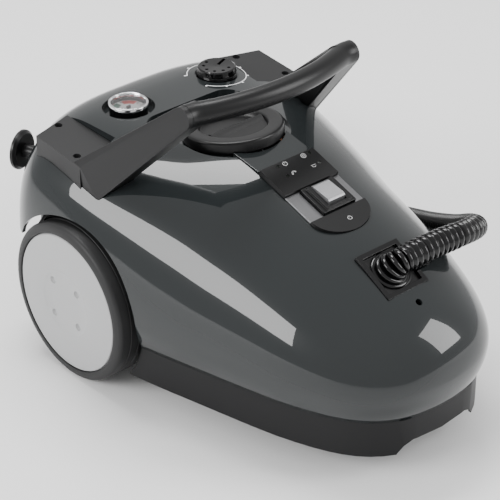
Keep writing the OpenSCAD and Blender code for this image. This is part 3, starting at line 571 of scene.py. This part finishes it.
for side, sg in (("left", -1), ("right", 1)):
    T = along_x(sg * 137, WY, WZ, sg)
    # profile in (radius, distance outward from the inner face), tyre
    tp = [(74.3, 1)] + arc(81, 4, 4, -90, 0) + [(85, 12), (84.4, 12.4), (84.4, 13.4), (85, 13.8), (85, 22), (84.4, 22.4), (84.4, 23.4), (85, 23.8)] + arc(80, 32, 5, 0, 70) + \
         [(79.5, 37.4), (77, 38), (75.2, 37.8), (74.6, 36.8), (74.3, 35)]
    ty = lathe("tyre_%s_moulded" % side, tp, T, "wheel_" + side, "tyre", 128, 40)
    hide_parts("tyre_" + side)
    prof = [(6.06, 4), (14, 4), (14, 20), (68, 20), (68, 2), (74.2, 2), (74.2, 35.6)] + arc(72.4, 36.0, 1.4, 20, 90, 4) + [(66, 38.1), (50, 38.8), (36, 39.1), (34.6, 38.9), (33.6, 38.5), (20, 38.5), (3, 38.5), (3, 30), (12, 30), (12, 22), (6.06, 22)]
    dk = lathe("wheel_disc_%s_moulded" % side, prof, T, "wheel_" + side, "disc", 128, 30, real=False)
    cap_ = lathe("c", [(0, 30), (3.2, 30), (3.2, 38.5), (0, 38.5)], T, None, None, 48, real=False)
    boolean(dk, [cap_], "UNION")
    dim = []
    for a in (45, 135, 225, 315):
        R = Matrix.Rotation(math.radians(a), 3, "Z")
        c = R @ Vector((27, 0, 0))
        dim.append(lathe("c", [(0, 35.6), (2.2, 36.0), (3.6, 37.4), (4.4, 39.2), (4.4, 42), (0, 42)], (lambda c: lambda v: T(Vector(v) + c))(c), None, None, 32, real=False))
    boolean(dk, dim)
    dress(dk, "wheel_" + side, "disc", 25)
    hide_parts("wheel_disc_" + side)

# ---------------------------------------------------------------- boiler cap
cp = [(0, 1.2), (50.4, 1.2), (51.2, 1.8), (51.4, 3), (51.4, 10.6), (50.9, 12.0), (50.0, 12.9), (48.6, 13.4), (46, 13.5), (37.4, 13.1), (36.2, 12.8), (35.4, 12.2), (34.8, 11), (34.2, 8.2), (33.2, 6.9), (31.6, 6.5), (0, 6.5)]
capb = lathe("boiler_cap_moulded", cp, at_cap, None, None, 160, real=False)
sleeve = lathe("c", [(20.4, 3), (24, 3), (24, -19), (20.4, -19)], at_cap, None, None, 96, real=False)
boolean(capb, [sleeve], "UNION")
# the web across the recess: steep on one side, sloping down to the rim on the other
V = []
for x in (-33.8, 33.8):
    for y, z in ((-1.0, 4), (-1.6, 10.6), (-2.6, 12.3), (-4.4, 12.9), (-6.4, 12.0), (-12, 9.2), (-34, 7.6), (-34, 4)):
        V.append(at_cap((x, y, z)))
F = [list(range(8)), list(range(15, 7, -1))] + [[i, 8 + i, 8 + (i + 1) % 8, (i + 1) % 8] for i in range(8)]
web = mesh_obj("c", V, F, None, None, real=False)
bound = cyl("c", 34.0, 3, 14, at_cap, 160)
boolean(web, [bound], "INTERSECT")
boolean(capb, [web], "UNION")
boolean(capb, [cyl("c", 4.1, -2, 5, at_cap, 48)])
dress(capb, "cap", "black", 30)
bevel(capb, 0.9, 3, 40)
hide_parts("cap_knob")

# ---------------------------------------------------------------- cross bar
bar = np.array([(88.2 * t, -11.7 + 16.5 * t * t, 312.8 - 1.6 * t * t) for t in np.linspace(-1, 1, 61)])
rb = 11.0 + 0.6 * np.clip((np.abs(np.linspace(-1, 1, 61)) - 0.55) / 0.45, 0, 1) ** 2
tail_ = [(92.0, 6.4, 311.1), (96.5, 7.5, 311.0), (100.5, 8.0, 311.0), (104.6, 8.0, 311.0)]
bar = np.array([(-a, b, c) for a, b, c in tail_[::-1]] + [tuple(q) for q in bar] + tail_)
rb = np.r_[[12.05, 12.05, 12.0, 11.85], rb, [11.85, 12.0, 12.05, 12.05]]
grip = sweep("cross_bar_tube", bar, rb, 64, "body", "black", 50)
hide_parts("handle_grip")

# ---------------------------------------------------------------- dial of the gauge
gT = frameT((G[0], G[1], 240.0))


def ring_patch(name, r0, r1, a0, a1, z0, z1, T, body, slot, n=40):
    V, F = [], []
    for k in range(n + 1):
        a = math.radians(a0 + (a1 - a0) * k / n)
        for r in (r0, r1):
            for z in (z0, z1):
                V.append(T((r * math.cos(a), r * math.sin(a), z)))
    for k in range(n):
        b = 4 * k
        F += [[b + 1, b + 3, b + 7, b + 5], [b, b + 4, b + 6, b + 2], [b, b + 1, b + 5, b + 4], [b + 2, b + 6, b + 7, b + 3]]
    F += [[0, 2, 3, 1], [4 * n, 4 * n + 1, 4 * n + 3, 4 * n + 2]]
    return mesh_obj(name, V, F, body, slot, 40)


ring_patch("dial_green_band", 9.5, 16.5, 100, 235, 0.82, 1.0, gT, "body", "green")
ring_patch("dial_red_band", 9.5, 16.5, 20, 80, 0.82, 1.0, gT, "body", "red")
for k in range(11):
    a = 235 - 25 * k
    ring_patch("dial_tick_%d" % k, 12.5, 17.0, a - 1.0, a + 1.0, 0.82, 1.08, gT, "body", "ink", 2)

# ---------------------------------------------------------------- printed scale around the steam knob
def scale_arc(name, r0, r1, a0, a1, n=48):
    V, F = [], []
    for k in range(n + 1):
        a = math.radians(a0 + (a1 - a0) * k / n)
        for r in (r0, r1):
            x, y = K[0] + r * math.cos(a), K[1] + r * math.sin(a)
            z = top_z(x, y)
            V += [(x, y, z - 0.05), (x, y, z + 0.14)]
    for k in range(n):
        b = 4 * k
        F += [[b + 1, b + 3, b + 7, b + 5], [b, b + 4, b + 6, b + 2], [b, b + 1, b + 5, b + 4], [b + 2, b + 6, b + 7, b + 3]]
    F += [[0, 2, 3, 1], [4 * n, 4 * n + 1, 4 * n + 3, 4 * n + 2]]
    return mesh_obj(name, V, F, "body", "white", 40)


scale_arc("knob_scale_arc", 30.6, 31.5, -150, 150, 90)
for k in range(9):
    a = -150 + 37.5 * k
    scale_arc("knob_scale_tick_%d" % k, 31.5, 33.4 + 0.15 * k, a - 1.6, a + 1.6, 3)


# ---------------------------------------------------------------- icons
def icon(name, x, y, kind, z=2.62, s=1.0, slot="white"):
    T = lambda v: at_strip((x + v[0] * s, y + v[1] * s, z + v[2]))
    if kind == 0:
        ring_patch(name + "_ring", 2.3, 2.65, 120, 420, 0, 0.12, T, "body", slot, 24)
        prism(name + "_bar", [(-0.17, 0.4), (0.17, 0.4), (0.17, 3.2), (-0.17, 3.2)], 0, 0.12, T, True, "body", slot)
    elif kind == 1:
        ring_patch(name + "_ring", 2.5, 2.85, 0, 350, 0, 0.12, T, "body", slot, 24)
        ring_patch(name + "_dot", 0.9, 1.2, 0, 350, 0, 0.12, T, "body", slot, 16)
    elif kind == 2:
        ring_patch(name + "_arc", 2.3, 2.65, 200, 340, 0, 0.12, T, "body", slot, 16)
        prism(name + "_bar", [(-3, 0.2), (3, 0.2), (3, 0.5), (-3, 0.5)], 0, 0.12, T, True, "body", slot)
    else:
        ring_patch(name + "_arc", 1.9, 2.2, 20, 200, 0, 0.12, T, "body", slot, 16)
        ring_patch(name + "_arc2", 2.9, 3.2, 20, 200, 0, 0.12, T, "body", slot, 16)


icon("icon_power", -6, 53.5, 0); icon("icon_heat", -6, 38.5, 3); icon("icon_steam", 18.5, 53.5, 1); icon("icon_water", 18.5, 38.5, 2)
icon("icon_switch", 3, -33, 0, z=1.05, s=0.9)

# ---------------------------------------------------------------- CAD nodes that stay: their materials and softened edges
SLOT = {s_["node"]: s_["material_slot"] for s_ in frame["record"]["subparts"]}
WID = {"handle_cover_left": 2.2, "handle_cover_right": 2.2, "handle_arm_left": 1.2, "handle_arm_right": 1.2, "base_tray": 1.4, "led_panel": 1.2, "switch_plate": 0.5,
       "rocker_frame": 0.7, "rocker_paddle": 1.0, "panel_end_trim": 1.0, "hose_bezel": 1.6, "blank_plate": 0.8, "steam_knob": 0.8, "cable_hooks": 1.0, "gun_body": 0.8,
       "gun_trigger": 1.0, "hose_elbow": 0.8, "gauge_case": 0.4, "caster_fork_left": 1.0, "caster_fork_right": 1.0, "cable_gland": 0.6, "hose_ties": 0.5}
for n_, o in N.items():
    if o.hide_render:
        continue
    mt = M["black" if n_ == "led_panel" else SLOT[n_]]
    if not o.material_slots:
        o.data.materials.append(mt)
    for sl in o.material_slots:
        sl.material = mt
    for p in o.data.polygons:
        p.use_smooth = True
    wd = o.modifiers.new("weld", "WELD"); wd.merge_threshold = 1e-5
    if n_ in WID:
        bevel(o, WID[n_], 3, 28)
    else:
        bevel(o, 0.25, 2, 35)

# ---------------------------------------------------------------- stage
bpy.ops.mesh.primitive_plane_add(size=14, location=(0, 0, 0))
floor = bpy.context.object
floor.name = "floor"
fm = bpy.data.materials.new("floor_pale"); fm.use_nodes = True
fb = fm.node_tree.nodes["Principled BSDF"]
fb.inputs["Base Color"].default_value = (0.86, 0.86, 0.86, 1)
fb.inputs["Roughness"].default_value = 0.75
floor.data.materials.append(fm)
world = SC.world or bpy.data.worlds.new("world")
SC.world = world
world.use_nodes = True
bg = world.node_tree.nodes.get("Background")
bg.inputs[0].default_value = (1, 1, 1, 1)
bg.inputs[1].default_value = 0.85


def area(name, loc, target, sx, sy, power):
    L = bpy.data.lights.new(name, "AREA")
    L.shape = "RECTANGLE"; L.size = sx; L.size_y = sy; L.energy = power
    o = bpy.data.objects.new(name, L)
    SC.collection.objects.link(o)
    o.location = loc
    o.rotation_euler = (Vector(target) - Vector(loc)).to_track_quat("-Z", "Y").to_euler()
    return o


area("soft_left", (-2.3, 0.5, 1.3), (0, 0, 0.15), 1.5, 0.9, 55)
area("soft_top", (0.3, 0.9, 2.4), (0, 0, 0.2), 1.6, 0.8, 60)
area("soft_front_right", (1.5, -1.7, 1.3), (0, 0, 0.15), 0.9, 1.5, 40)
